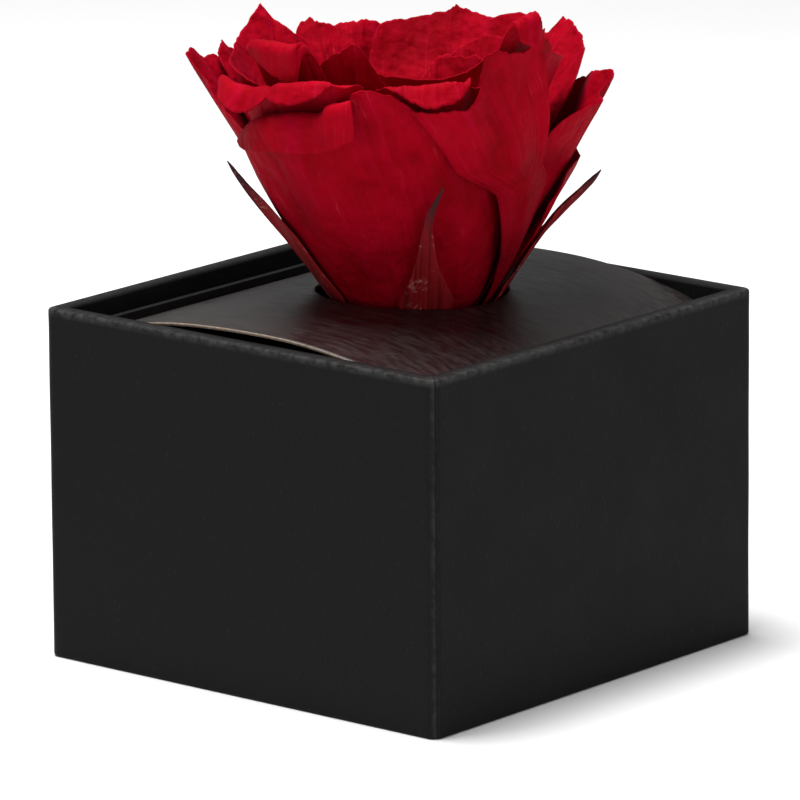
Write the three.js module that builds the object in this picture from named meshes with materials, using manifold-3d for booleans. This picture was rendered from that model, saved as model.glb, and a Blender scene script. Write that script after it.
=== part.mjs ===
// Preserved rose box: a rose head standing in a bowed card inside an open paper-covered tray.
// Millimetres, +Z up. The origin is on the floor under the middle of the box.
// The box stands square to X and Y; the rose is described by turns round its own axis.
import * as THREE from 'three';
import { mergeVertices } from 'three/addons/utils/BufferGeometryUtils.js';
import Module from 'manifold-3d';

const wasm = await Module();
wasm.setup();

// Driving dimensions of the tray
const BOX_SIDE = 80;
const BOX_HEIGHT = 57;
const WALL = 3;
const FLOOR = 2;
const CORNER_RADIUS = 1.2;
const INNER_CORNER_RADIUS = 0.6;
const RIM_ROUND = 0.5;
const CORNER_STEPS = 3;

// Boards that line the left and right walls
const GAP = 0.3;
const BOARD_THICKNESS = 1.2;
const BOARD_TOP = 54;

// Bowed card that closes the tray round the rose
const CARD_THICKNESS = 0.6;
const CARD_CROWN = 58.3;
const CARD_LEVEL_AT = 19.5;
const CARD_BOW_POWER = 2.5;
const CARD_HALF = BOX_SIDE / 2 - WALL - GAP - BOARD_THICKNESS - GAP;
const CARD_DEPTH = BOX_SIDE - 2 * WALL - 2 * GAP;
const CARD_STEPS = 14;
const HOLE_RADIUS = 15.4;
const HOLE_SIDES = 40;

// Rose: its axis at the card, the turn that faces the viewer, and how far the head leans
const ROSE_X = -0.25;
const ROSE_Y = 3.2;
const VIEWER_TURN = -50;
const LEAN = 1.5;
const INNER_LEAN = 5;

// The petals lie in nested cups. Each cup is a Bezier curve of [radius, height] turned
// round the axis; layer 1 is the outermost full cup and layer 0 is the bud in the middle.
const OUTER_CUP = [[6, 50.5], [15.8, 54.6], [21.9, 75.7], [33.5, 96]];
const INNER_CUP = [[0.7, 62], [1.1, 72], [1.5, 84], [2.2, 95]];
const PETAL_THICKNESS = 0.42;
const SEPAL_THICKNESS = 0.5;

// Shares of a petal's length from claw to rim: where its ruffle starts, and where the direction
// of its rim is taken
const RUFFLE_FROM = 0.55;
const RIM_SAMPLE = 0.75;

const PAPER = new THREE.MeshStandardMaterial({ color: 0x26272a, roughness: 0.85, metalness: 0 });
const BOARD = new THREE.MeshStandardMaterial({ color: 0x1c1b1c, roughness: 0.9, metalness: 0 });
const CARD = new THREE.MeshStandardMaterial({ color: 0x3a2f30, roughness: 0.7, metalness: 0 });
const HIP = new THREE.MeshStandardMaterial({ color: 0x4a1016, roughness: 0.8, metalness: 0 });
const SEPAL = new THREE.MeshStandardMaterial({ color: 0x6b1a20, roughness: 0.8, metalness: 0 });
const PETAL = new THREE.MeshStandardMaterial({ color: 0xa80f20, roughness: 0.65, metalness: 0 });

const group = new THREE.Group();

function add(name, geometry, material) {
  const mesh = new THREE.Mesh(geometry, material);
  mesh.name = name;
  group.add(mesh);
}

// Closed geometry to solid and back
const WELD = 1e-4;

function toSolid(geometry) {
  const plain = geometry.clone();
  plain.deleteAttribute('normal');
  plain.deleteAttribute('uv');
  const merged = mergeVertices(plain, WELD);
  return new wasm.Manifold(new wasm.Mesh({
    numProp: 3,
    vertProperties: new Float32Array(merged.attributes.position.array),
    triVerts: new Uint32Array(merged.index.array),
  }));
}

function toGeometry(solid) {
  const mesh = solid.getMesh();
  const geometry = new THREE.BufferGeometry();
  geometry.setAttribute('position', new THREE.BufferAttribute(mesh.vertProperties, 3));
  geometry.setIndex(new THREE.BufferAttribute(mesh.triVerts, 1));
  return geometry;
}

// Tray: a rounded square block less a rounded square hollow

function roundedSquare(side, radius) {
  const half = side / 2;
  const inner = half - radius;
  const shape = new THREE.Shape();
  shape.moveTo(half, -inner);
  shape.lineTo(half, inner);
  shape.absarc(inner, inner, radius, 0, Math.PI / 2);
  shape.lineTo(-inner, half);
  shape.absarc(-inner, inner, radius, Math.PI / 2, Math.PI);
  shape.lineTo(-half, -inner);
  shape.absarc(-inner, -inner, radius, Math.PI, 1.5 * Math.PI);
  shape.lineTo(inner, -half);
  shape.absarc(inner, -inner, radius, 1.5 * Math.PI, 2 * Math.PI);
  return shape;
}

const BEVEL_STEPS = 2;

function trayGeometry() {
  const block = new THREE.ExtrudeGeometry(roundedSquare(BOX_SIDE - 2 * RIM_ROUND, CORNER_RADIUS), {
    depth: BOX_HEIGHT - 2 * RIM_ROUND,
    bevelEnabled: true,
    bevelSize: RIM_ROUND,
    bevelThickness: RIM_ROUND,
    bevelSegments: BEVEL_STEPS,
    curveSegments: CORNER_STEPS,
  });
  block.translate(0, 0, RIM_ROUND);
  const hollow = new THREE.ExtrudeGeometry(roundedSquare(BOX_SIDE - 2 * WALL, INNER_CORNER_RADIUS), {
    depth: BOX_HEIGHT,
    bevelEnabled: false,
    curveSegments: CORNER_STEPS,
  });
  hollow.translate(0, 0, FLOOR);
  return toGeometry(toSolid(block).subtract(toSolid(hollow)));
}

function boardGeometry(side) {
  const height = BOARD_TOP - FLOOR - GAP;
  const board = new THREE.BoxGeometry(BOARD_THICKNESS, CARD_DEPTH, height);
  const middle = BOX_SIDE / 2 - WALL - GAP - BOARD_THICKNESS / 2;
  board.translate(side * middle, 0, FLOOR + GAP + height / 2);
  return board;
}

// Card: the section of a low arch with two legs, extruded front to back, less the round hole

function cardHeight(x) {
  return CARD_CROWN - (CARD_CROWN - BOX_HEIGHT) * (Math.abs(x) / CARD_LEVEL_AT) ** CARD_BOW_POWER;
}

function cardGeometry() {
  const foot = FLOOR + GAP;
  const inside = CARD_HALF - CARD_THICKNESS;
  const shape = new THREE.Shape();
  shape.moveTo(-CARD_HALF, foot);
  for (let i = 0; i <= CARD_STEPS; i += 1) {
    const x = CARD_HALF * (2 * i / CARD_STEPS - 1);
    shape.lineTo(x, cardHeight(x));
  }
  shape.lineTo(CARD_HALF, foot);
  shape.lineTo(inside, foot);
  for (let i = CARD_STEPS; i >= 0; i -= 1) {
    const x = inside * (2 * i / CARD_STEPS - 1);
    shape.lineTo(x, cardHeight(x) - CARD_THICKNESS);
  }
  shape.lineTo(-inside, foot);
  const card = new THREE.ExtrudeGeometry(shape, { depth: CARD_DEPTH, bevelEnabled: false });
  card.rotateX(Math.PI / 2);
  card.translate(0, CARD_DEPTH / 2, 0);
  const drill = new THREE.CylinderGeometry(HOLE_RADIUS, HOLE_RADIUS, BOX_HEIGHT, HOLE_SIDES);
  drill.rotateX(Math.PI / 2);
  drill.translate(ROSE_X, ROSE_Y, BOX_HEIGHT);
  return toGeometry(toSolid(card).subtract(toSolid(drill)));
}

// Cups of the rose

function smoothStep(x, from, to) {
  const s = Math.min(Math.max((x - from) / (to - from), 0), 1);
  return s * s * (3 - 2 * s);
}

// Radius, height and their slopes on the cup of a layer
function cupPoint(layer, t) {
  const m = 1 - t;
  const weight = [m ** 3, 3 * m * m * t, 3 * m * t * t, t ** 3];
  const slope = [-3 * m * m, 3 * m * m - 6 * m * t, 6 * m * t - 3 * t * t, 3 * t * t];
  const point = { r: 0, z: 0, dr: 0, dz: 0 };
  for (let i = 0; i < 4; i += 1) {
    const r = OUTER_CUP[i][0] * layer + INNER_CUP[i][0] * (1 - layer);
    const z = OUTER_CUP[i][1] * layer + INNER_CUP[i][1] * (1 - layer);
    point.r += weight[i] * r;
    point.z += weight[i] * z;
    point.dr += slope[i] * r;
    point.dz += slope[i] * z;
  }
  return point;
}

// Place along the cup where it reaches a height, by Newton steps. Past 1 the cup runs on.
const REACH_GUESS = 0.7;
const REACH_STEPS = 12;
const REACH_LIMIT = 1.5;

function cupReach(layer, height) {
  let t = REACH_GUESS;
  for (let i = 0; i < REACH_STEPS; i += 1) {
    const point = cupPoint(layer, t);
    t = Math.min(Math.max(t - (point.z - height) / point.dz, 0), REACH_LIMIT);
  }
  return t;
}

// A turn of 0 faces the viewer and a positive turn goes to the viewer's right
function outward(turn) {
  const angle = THREE.MathUtils.degToRad(VIEWER_TURN + turn);
  return new THREE.Vector3(Math.cos(angle), Math.sin(angle), 0);
}

function rosePoint(turn, point, t, layer) {
  const sideways = outward(90).multiplyScalar(-(LEAN + INNER_LEAN * (1 - layer)) * t);
  return outward(turn).multiplyScalar(point.r).add(sideways)
    .add(new THREE.Vector3(ROSE_X, ROSE_Y, point.z));
}

// Outline of a petal at u from 0 to 1: a curve through its points, with corners at the sharp ones.
// Each point is [turn, height, layer shift, roll length].
function outlineAt(petal, u) {
  const last = petal.outline.length - 1;
  const place = Math.min(u * last, last - 1e-9);
  const i = Math.floor(place);
  const f = place - i;
  const value = (index, field) => petal.outline[Math.min(Math.max(index, 0), last)][field] ?? 0;
  const isSharp = (index) => index === 0 || index === last || petal.sharp.includes(index);
  return [0, 1, 2, 3].map((field) => {
    const a = value(i, field);
    const b = value(i + 1, field);
    const leave = isSharp(i) ? b - a : (b - value(i - 1, field)) / 2;
    const arrive = isSharp(i + 1) ? b - a : (value(i + 2, field) - a) / 2;
    return (2 * f ** 3 - 3 * f ** 2 + 1) * a + (f ** 3 - 2 * f ** 2 + f) * leave
      + (-2 * f ** 3 + 3 * f ** 2) * b + (f ** 3 - f ** 2) * arrive;
  });
}

// Point of the unrolled petal: lines run like veins from the claw to the outline, fan out by the
// petal's power of their length, and sweep sideways between two places along the cup
function veinPoint(petal, u, v, rim) {
  const layer = petal.layer + rim[2] * smoothStep(v, petal.shiftFrom, 1);
  const t = v * cupReach(petal.layer + rim[2], rim[1]);
  const start = petal.claw + petal.clawHalf * (2 * u - 1);
  const [sweep, sweepFrom, sweepTo] = petal.sweep;
  const turn = start + (rim[0] - start) * v ** petal.fan + sweep * smoothStep(t, sweepFrom, sweepTo);
  const point = cupPoint(layer, t);
  return { turn, point, position: rosePoint(turn, point, t, layer) };
}

// Height over the cup: a ruffle along the rim, and bumps of [u, v, width, length, height]
function relief(petal, u, v) {
  const [size, waves, phase] = petal.wave;
  let height = size * Math.sin(2 * Math.PI * waves * u + phase) * smoothStep(v, RUFFLE_FROM, 1);
  for (const [middleU, middleV, wideU, wideV, bump] of petal.bumps) {
    height += bump * Math.exp(-(((u - middleU) / wideU) ** 2) - ((v - middleV) / wideV) ** 2);
  }
  return height;
}

// The rim is rolled outwards round a small radius through the petal's roll turn, then runs straight.
// Gives the point and the direction that the petal faces there.
function petalPoint(petal, u, v) {
  const rim = outlineAt(petal, u);
  const here = veinPoint(petal, u, v, rim);
  const edge = veinPoint(petal, u, 1, rim).position;
  const along = edge.clone().sub(veinPoint(petal, u, RIM_SAMPLE, rim).position).normalize();
  const slope = Math.hypot(here.point.dr, here.point.dz);
  const normal = outward(here.turn).multiplyScalar(here.point.dz / slope)
    .add(new THREE.Vector3(0, 0, -here.point.dr / slope));
  const past = Math.max(rim[3] - edge.distanceTo(here.position), 0);
  const bend = Math.min(past / petal.rollRadius, THREE.MathUtils.degToRad(petal.rollTurn));
  const straight = past - petal.rollRadius * bend;
  const out = petal.rollRadius * (1 - Math.cos(bend)) + straight * Math.sin(bend) + relief(petal, u, v);
  const back = petal.rollRadius * Math.sin(bend) + straight * Math.cos(bend) - past;
  return {
    position: here.position.clone().addScaledVector(normal, out).addScaledVector(along, back),
    facing: normal.clone().multiplyScalar(Math.cos(bend)).addScaledVector(along, -Math.sin(bend)).normalize(),
  };
}

// Shares of a plain petal's length that its rows of points lie at
const PLAIN_ROWS = [0, 0.15, 0.4, 0.7, 1];

// A rolled petal has rows at shares of the part below its roll, then at shares of the bend, then
// at its rim. The roll counts as at least a little long, so that its rows keep apart.
const ROWS_BELOW = [0, 0.2, 0.5, 0.8];
const ROWS_ROUND = [0, 1 / 3, 2 / 3, 1];
const LEAST_ROLL = 2.2;
const MOST_ROUND = 0.75;

function rowsOf(petal, u) {
  if (!petal.rolled) {
    return petal.rows ?? PLAIN_ROWS;
  }
  const rim = outlineAt(petal, u);
  const edge = veinPoint(petal, u, 1, rim).position;
  const length = edge.distanceTo(veinPoint(petal, u, RIM_SAMPLE, rim).position) / (1 - RIM_SAMPLE);
  const roll = Math.max(rim[3], LEAST_ROLL);
  const round = Math.min(petal.rollRadius * THREE.MathUtils.degToRad(petal.rollTurn), roll * MOST_ROUND);
  const start = 1 - roll / length;
  const below = ROWS_BELOW.map((share) => share * start);
  return [...below, ...ROWS_ROUND.map((share) => start + share * round / length), 1];
}

// Closed leaf of even thickness round a grid of points
function leafGeometry(petal, thickness) {
  const columns = petal.columns ?? petal.outline.length - 1;
  const grid = [];
  for (let i = 0; i <= columns; i += 1) {
    const u = i / columns;
    grid.push(rowsOf(petal, u).map((v) => petalPoint(petal, u, v)));
  }
  const last = grid[0].length - 1;
  const positions = [];
  for (const side of [1, -1]) {
    for (let i = 0; i <= columns; i += 1) {
      for (let j = 0; j <= last; j += 1) {
        const { position, facing } = grid[i][j];
        const point = position.clone().addScaledVector(facing, side * thickness / 2);
        positions.push(point.x, point.y, point.z);
      }
    }
  }
  const skin = (columns + 1) * (last + 1);
  const at = (side, i, j) => side * skin + i * (last + 1) + j;
  const faces = [];
  const quad = (a, b, c, d) => faces.push(a, b, c, a, c, d);
  for (let i = 0; i < columns; i += 1) {
    for (let j = 0; j < last; j += 1) {
      quad(at(0, i, j), at(0, i + 1, j), at(0, i + 1, j + 1), at(0, i, j + 1));
      quad(at(1, i, j), at(1, i, j + 1), at(1, i + 1, j + 1), at(1, i + 1, j));
    }
    quad(at(0, i, 0), at(1, i, 0), at(1, i + 1, 0), at(0, i + 1, 0));
    quad(at(0, i, last), at(0, i + 1, last), at(1, i + 1, last), at(1, i, last));
  }
  for (let j = 0; j < last; j += 1) {
    quad(at(0, 0, j), at(0, 0, j + 1), at(1, 0, j + 1), at(1, 0, j));
    quad(at(0, columns, j), at(1, columns, j), at(1, columns, j + 1), at(0, columns, j + 1));
  }
  const geometry = new THREE.BufferGeometry();
  geometry.setAttribute('position', new THREE.Float32BufferAttribute(positions, 3));
  geometry.setIndex(faces);
  return geometry;
}

const PETAL_DEFAULTS = {
  clawHalf: 14,
  fan: 0.8,
  shiftFrom: 0.35,
  sweep: [0, 0, 1],
  sharp: [],
  wave: [0, 1, 0],
  bumps: [],
  rollRadius: 2,
  rollTurn: 120,
};

// Petals that the photograph shows, each with an outline of its own
const petals = {
  petal_front_right: {
    claw: 82, layer: 1, rows: [0, 0.25, 0.5, 0.62, 0.7, 0.78, 0.88, 1], clawHalf: 3, sharp: [6],
    wave: [0.15, 3, 0], fan: 1.3, shiftFrom: 0.7, sweep: [-12, 0.675, 0.775],
    bumps: [[0.5, 0.75, 0.2, 0.3, 0.8]],
    outline: [[12.5, 94.6], [17, 93.2], [24, 93], [31, 93.4, -0.02], [35.5, 96, -0.08],
      [37, 101, -0.13], [40.5, 102.2, -0.14], [46, 101.6, -0.14], [52, 101.4, -0.14],
      [55, 105, -0.14]],
  },
  petal_front_left: {
    claw: 8, layer: 0.925, rolled: true, clawHalf: 53, sharp: [8, 11], wave: [0.1, 2.6, 1],
    rollRadius: 1, rollTurn: 150,
    outline: [[-85, 76, 0.05], [-77, 81.5, 0.04, 0.4], [-70, 85.9, 0.03, 2.2],
      [-61, 90.8, 0.03, 4.8], [-51, 95.2, 0.03, 6.8], [-38.5, 97.6, 0.03, 7.6],
      [-29, 98.2, 0.03, 7.6], [-25, 98.6, 0.03, 7.6], [-23, 100.4, 0.03, 8.2],
      [-18, 100.8, 0.03, 8], [-15.4, 100.4, 0.03, 7], [-13.2, 96.6, 0.02, 1.2], [-9, 96.6, 0.02],
      [-3, 95.8, 0.02], [1, 94.8, 0.01], [13, 90], [34, 84, -0.02], [74, 76, -0.06]],
  },
  petal_left: {
    claw: -98, layer: 0.89, sharp: [5], wave: [0.2, 4, 2],
    outline: [[-125, 80, 0.04], [-121, 89.6, 0.07], [-112, 93.6, 0.08], [-104, 94.2, 0.1],
      [-98.5, 96, 0.11], [-93.5, 96, 0.13], [-90, 93.4, 0.1], [-86, 91.8, 0.09],
      [-82, 90.4, 0.08], [-76, 87.4, 0.07], [-70, 85.6, 0.05], [-64, 84.4, 0.01]],
  },
  petal_right_low: {
    claw: 105, layer: 0.99, wave: [0.2, 3, 0], fan: 1.2,
    outline: [[75, 73, 0.07], [79, 78, 0.09], [88, 79.2, 0.1], [100, 80, 0.09],
      [111, 80.6, 0.07], [116, 77, 0.05]],
  },
  petal_right: {
    claw: 97, layer: 0.93, sharp: [3], wave: [0.2, 5, 0.5],
    outline: [[62, 79], [66, 86], [74, 88.6, 0.07], [82, 88.9, 0.15], [85, 90.2, 0.1],
      [89, 92, 0.13], [94, 92.6, 0.12], [101, 91.6, 0.1], [109, 90.4, 0.09], [115, 88.8, 0.1],
      [120.5, 84, 0.07]],
  },
  petal_back_right: {
    claw: 150, layer: 1, wave: [0.4, 3, 1.5],
    outline: [[120, 78], [124, 89], [136, 92.5], [152, 94], [168, 92.5], [180, 88], [184, 76]],
  },
  petal_back_left: {
    claw: -158, layer: 0.955, wave: [0.4, 3, 0.2],
    outline: [[-196, 76], [-192, 87], [-176, 92], [-158, 93], [-142, 90], [-130, 80]],
  },
  petal_left_back: {
    claw: -124, layer: 0.81, clawHalf: 12, sharp: [4], wave: [0.2, 4, 2],
    outline: [[-146, 80, 0.02], [-139, 89, 0.04], [-128, 92.4, 0.09], [-121, 93.6, 0.11],
      [-114.5, 95.8, 0.12], [-109, 94, 0.11], [-104, 92, 0.08], [-99, 84, 0.02]],
  },
  petal_shelf_left: {
    claw: -50, layer: 0.83, rolled: true, clawHalf: 16, sharp: [8, 13], wave: [0.08, 4, 1],
    rollRadius: 0.9, rollTurn: 122,
    outline: [[-83, 82], [-80, 89.2, 0.01], [-74.5, 93.6, 0.02, 0.4], [-69, 95.8, 0.04, 1.9],
      [-62, 98, 0.05, 4.3], [-54, 99.2, 0.05, 5.5], [-47.5, 99.2, 0.05, 5.5],
      [-42.5, 98.6, 0.05, 4.3], [-40.5, 97.2, 0.05, 2.8], [-37, 99.2, 0.05, 3.9],
      [-30, 100.6, 0.05, 4.9], [-24, 100.2, 0.05, 4.1], [-20, 99.2, 0.05, 2.7],
      [-18.5, 97.8, 0.04, 1.3], [-14, 97.9, 0.03, 1.6], [-10, 96.7, 0.01, 0.6], [-8, 90]],
  },
  petal_shelf_front: {
    claw: 11, layer: 0.785, rolled: true, sharp: [1], wave: [0.08, 3, 0], rollRadius: 1,
    rollTurn: 118,
    outline: [[-8, 86], [-6.5, 95.4, 0.02, 0.4], [-3, 97.4, 0.07, 1.4], [0.5, 98.6, 0.09, 2.6],
      [4, 99.9, 0.1, 3.9], [9, 101.2, 0.1, 5.1], [15, 101, 0.1, 4.7], [20, 99.2, 0.09, 2.8],
      [23.4, 97.4, 0.06, 0.8], [28.5, 90, 0.01]],
  },
  petal_right_curl: {
    claw: 130, layer: 0.87, clawHalf: 12, sharp: [6], wave: [0.1, 3, 1], fan: 1.6, shiftFrom: 0.7,
    outline: [[97, 85, 0.02], [99, 90.5, 0.05], [105, 93.6, 0.07], [114.6, 94.7, 0.11],
      [119, 95.7, 0.12], [124.5, 96.9, 0.12], [129, 97.6, 0.11], [131, 95.2, 0.09],
      [137, 94, 0.05], [144, 86, 0.01]],
  },
  petal_right_fold: {
    claw: 54, layer: 0.785, rolled: true, clawHalf: 16, sharp: [6], wave: [0.15, 3, 1],
    rollRadius: 1, rollTurn: 156,
    outline: [[30, 88], [33, 97], [34.5, 105.6, 0, 1.2], [36, 109.8, 0, 4.6], [38.6, 112, 0, 6],
      [41.2, 111.4, 0, 5.2], [44.8, 105.4, 0, 1.2], [48, 103.6, 0, 0.3], [54, 101.4], [66, 98],
      [84, 96], [104, 94], [112, 84]],
  },
  petal_back: {
    claw: 160, layer: 0.815, sharp: [5], wave: [0.15, 2.5, 0],
    outline: [[126, 80], [129, 93, 0.03], [136, 97.8, 0.05], [147, 96.8, 0.05],
      [156, 97.3, 0.05], [161, 98.2, 0.05], [163, 97.4, 0.05], [170, 96.3, 0.05],
      [179, 95.7, 0.04], [187, 94, 0.03], [193, 84]],
  },
  petal_back_middle: {
    claw: -164, layer: 0.885, sharp: [6], wave: [0.15, 3, 1],
    outline: [[-196, 80], [-188, 92, 0.02], [-176, 95, 0.02], [-169, 95.5, 0.02],
      [-163.5, 95.2, 0.02], [-156, 95.4, 0.02], [-153, 96.4, 0.02], [-147, 94.4, 0.02],
      [-143, 84]],
  },
  petal_left_peak: {
    claw: -108, layer: 0.76, clawHalf: 16, sharp: [4], wave: [0.15, 3, 0],
    outline: [[-156, 82], [-148, 93], [-141.5, 95.4], [-136.5, 97.4], [-132.5, 100.6],
      [-124, 98.4], [-113.5, 96.8], [-103, 95.8], [-90.5, 95.4], [-80, 94.8], [-68, 94.2],
      [-57, 94], [-50, 92], [-44, 84]],
  },
  petal_left_inner: {
    claw: -44, layer: 0.645, rolled: true, clawHalf: 18, sharp: [8], wave: [0.1, 2, 0],
    rollRadius: 1.2, rollTurn: 156,
    outline: [[-72, 86], [-64, 93], [-58, 98.8, 0.02, 0.4], [-54, 102, 0.03, 2],
      [-49, 104.8, 0.03, 4.2], [-43, 106.4, 0.03, 5.8], [-37, 107.6, 0.03, 7.2],
      [-32, 108.8, 0.03, 8.2], [-29.5, 108.8, 0.02, 8], [-28, 102, 0, 1.8], [-26, 96], [-19, 86]],
  },
  petal_right_inner: {
    claw: 118, layer: 0.71, clawHalf: 18, wave: [0.2, 2.4, 0],
    outline: [[84, 84], [92, 92], [106, 93.6], [122, 94.8], [138, 95.2], [146, 94.2],
      [154, 92.2], [162, 90.6], [172, 86]],
  },
  petal_front_inner: {
    claw: 4, layer: 0.72, clawHalf: 18, wave: [0.2, 3, 0],
    outline: [[-40, 84], [-36, 92], [-14, 94], [8, 95], [30, 95], [44, 93], [49, 84]],
  },
  petal_back_inner: {
    claw: 176, layer: 0.66, clawHalf: 18, wave: [0.3, 2.4, 0],
    outline: [[136, 80], [146, 86], [160, 87.5], [182, 88], [200, 88], [212, 87], [218, 78]],
  },
  petal_heart_fold: {
    claw: -34, layer: 0.54, sharp: [7], wave: [0.1, 2, 0],
    outline: [[-68, 82], [-60, 90], [-50, 94.2], [-41, 96], [-31, 97.8], [-22.5, 99.6],
      [-16, 101], [-11.5, 102.2], [-5, 98], [2, 93], [9, 84]],
  },
  petal_heart_rim: {
    claw: 30, layer: 0.45, clawHalf: 22, wave: [0.1, 2, 0],
    outline: [[-26, 90], [-22, 96], [-18, 99.4], [-13, 99.2], [-8, 97.1], [-3, 96.2], [5, 95.5],
      [23.5, 94.9], [47, 94.7], [62.5, 95], [78, 95.6], [96, 93.5], [106, 84]],
  },
  petal_heart_back: {
    claw: 128, layer: 0.5, clawHalf: 18, sharp: [5], wave: [0.1, 2, 0],
    outline: [[84, 82], [92, 90], [104, 93], [120.5, 93.7], [136, 93], [149, 92.5], [154, 89],
      [164, 82]],
  },
};

// Plain petals between the shaped ones and the bud, one golden angle apart, closing inwards
const INNER_PETALS = 8;
const INNER_FIRST_TURN = -92.5;
const GOLDEN_ANGLE = 137.5;
const INNER_LAYERS = [0.44, 0.09];
const INNER_SPREADS = [58, 110];
const INNER_TOP = 90.4;
const INNER_TILT = 1.8;
const INNER_CLAW_HALF = 20;
const INNER_COLUMNS = 10;

function innerPetal(index) {
  const share = index / (INNER_PETALS - 1);
  const between = ([from, to]) => from + (to - from) * share;
  const claw = INNER_FIRST_TURN + GOLDEN_ANGLE * index;
  const spread = between(INNER_SPREADS);
  const top = INNER_TOP + INNER_TILT * Math.cos(THREE.MathUtils.degToRad(claw));
  const side = (part, height) => [claw + part * spread, height];
  return {
    claw,
    layer: between(INNER_LAYERS),
    clawHalf: INNER_CLAW_HALF,
    columns: INNER_COLUMNS,
    outline: [side(-1, 80), side(-0.9, top - 3), side(-0.45, top), side(0, top + 0.8),
      side(0.45, top), side(0.9, top - 3), side(1, 80)],
  };
}

// Narrow leaves of the calyx, outside all the petals
const sepals = {
  sepal_front: {
    claw: 12, layer: 1.03, rows: [0, 0.2, 0.5, 0.8, 0.87, 0.94, 1], sharp: [5], clawHalf: 20,
    sweep: [6, 0.6, 0.8],
    outline: [[-6, 59], [0, 62.5], [4, 67], [6.4, 72], [7.2, 76], [8.8, 80.4], [9.8, 76],
      [10.6, 72], [14.5, 66], [21, 62], [28, 59]],
  },
  sepal_left: {
    claw: -78, layer: 0.97, sharp: [6], shiftFrom: 0.5, clawHalf: 20,
    outline: [[-108, 59, 0.03], [-101, 64, 0.05], [-92, 69, 0.04], [-84, 72.5, 0.05],
      [-80, 75.5, 0.1], [-78.3, 78, 0.135], [-77.5, 80.4, 0.17], [-76.9, 78, 0.135],
      [-76, 75.5, 0.1], [-72, 72.5, 0.05], [-62, 69, 0.03], [-57, 64, 0.02], [-50, 59]],
  },
  sepal_right: {
    claw: 86, layer: 1.06, sharp: [5], shiftFrom: 0.68,
    outline: [[69, 59.5], [75, 63, 0.01], [80, 67, 0.03], [83.8, 71, 0.06], [85.6, 74.5, 0.13],
      [86.5, 77.6, 0.185], [87.8, 74.5, 0.13], [90, 71, 0.06], [94, 67, 0.03], [99, 63, 0.01],
      [105, 59.5]],
  },
  sepal_back_right: {
    claw: 158, layer: 1.05, sharp: [3],
    outline: [[144, 60], [151, 67], [155, 74, 0.02], [158, 80, 0.1], [161, 74, 0.02], [165, 67],
      [172, 60]],
  },
  sepal_back_left: {
    claw: -138, layer: 1.05, sharp: [3],
    outline: [[-152, 60], [-145, 67], [-141, 74, 0.02], [-138, 80, 0.1], [-135, 74, 0.02],
      [-131, 67], [-124, 60]],
  },
};

// Hip under the claws with the cut stub of the stem, as [radius, height]
const HIP_PROFILE = [[0, 38], [2.8, 38], [3, 41], [4.2, 43], [6.2, 46], [6.4, 48], [5.2, 50],
  [0.5, 60.6], [0, 60.8]];
const HIP_SIDES = 16;

function hipGeometry() {
  const profile = HIP_PROFILE.map(([r, z]) => new THREE.Vector2(r, z));
  const hip = new THREE.LatheGeometry(profile, HIP_SIDES);
  hip.rotateX(Math.PI / 2);
  hip.translate(ROSE_X, ROSE_Y, 0);
  return toGeometry(toSolid(hip));
}

add('box_tray', trayGeometry(), PAPER);
add('board_left', boardGeometry(-1), BOARD);
add('board_right', boardGeometry(1), BOARD);
add('insert_card', cardGeometry(), CARD);
add('rose_hip', hipGeometry(), HIP);
for (const [name, sepal] of Object.entries(sepals)) {
  add(name, leafGeometry({ ...PETAL_DEFAULTS, ...sepal }, SEPAL_THICKNESS), SEPAL);
}
for (const [name, petal] of Object.entries(petals)) {
  add(name, leafGeometry({ ...PETAL_DEFAULTS, ...petal }, PETAL_THICKNESS), PETAL);
}
for (let index = 0; index < INNER_PETALS; index += 1) {
  const petal = { ...PETAL_DEFAULTS, ...innerPetal(index) };
  add(`petal_inner_${index + 1}`, leafGeometry(petal, PETAL_THICKNESS), PETAL);
}

export default group;
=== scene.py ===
"""Preserved rose box: a rose head in a bowed card inside an open tray covered in dark paper.

Sizes are millimetres, and become metres where a mesh is made; lamps, camera clips and textures
are set in metres. The origin is on the floor under the middle of the box, +Z is up, and the box
stands square to X and Y.
"""
import logging
import math
from dataclasses import dataclass, field
from enum import Enum

import bpy
import numpy as np
from mathutils import Matrix, Vector


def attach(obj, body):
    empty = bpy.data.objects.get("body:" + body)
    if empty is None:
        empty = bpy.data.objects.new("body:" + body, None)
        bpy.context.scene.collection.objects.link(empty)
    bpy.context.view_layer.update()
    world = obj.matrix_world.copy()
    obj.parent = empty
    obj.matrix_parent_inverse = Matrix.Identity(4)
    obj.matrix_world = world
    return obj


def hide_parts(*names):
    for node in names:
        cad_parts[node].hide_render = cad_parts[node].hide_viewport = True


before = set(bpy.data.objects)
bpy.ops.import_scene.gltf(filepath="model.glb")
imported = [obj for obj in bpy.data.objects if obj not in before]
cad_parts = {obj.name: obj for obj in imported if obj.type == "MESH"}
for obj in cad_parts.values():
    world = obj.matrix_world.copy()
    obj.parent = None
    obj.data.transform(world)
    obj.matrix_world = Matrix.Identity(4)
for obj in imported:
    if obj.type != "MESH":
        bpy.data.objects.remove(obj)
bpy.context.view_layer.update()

MM = 0.001
BODY = "root"
LOG = logging.getLogger("rose_box")

Array = np.ndarray
Material = bpy.types.Material
Piece = bpy.types.Object
Socket = bpy.types.NodeSocket
Colour = tuple[float, float, float]
Numbers = tuple[float, ...]
Table = tuple[Numbers, ...]


class Slot(Enum):
    """Material slots of the record."""

    PAPER = "box_paper"
    BOARD = "lining_board"
    CARD = "insert_card"
    HIP = "hip"
    SEPAL = "sepal"
    PETAL = "petal"


# Meshes


def smooth_step(x: Array | float, low: float, high: float) -> Array:
    """Smooth rise from 0 at low to 1 at high: s * s * (3 - 2 * s), with s the clipped share of the way."""
    s = np.clip((np.asarray(x, float) - low) / (high - low), 0.0, 1.0)
    return s * s * (3.0 - 2.0 * s)


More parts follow.
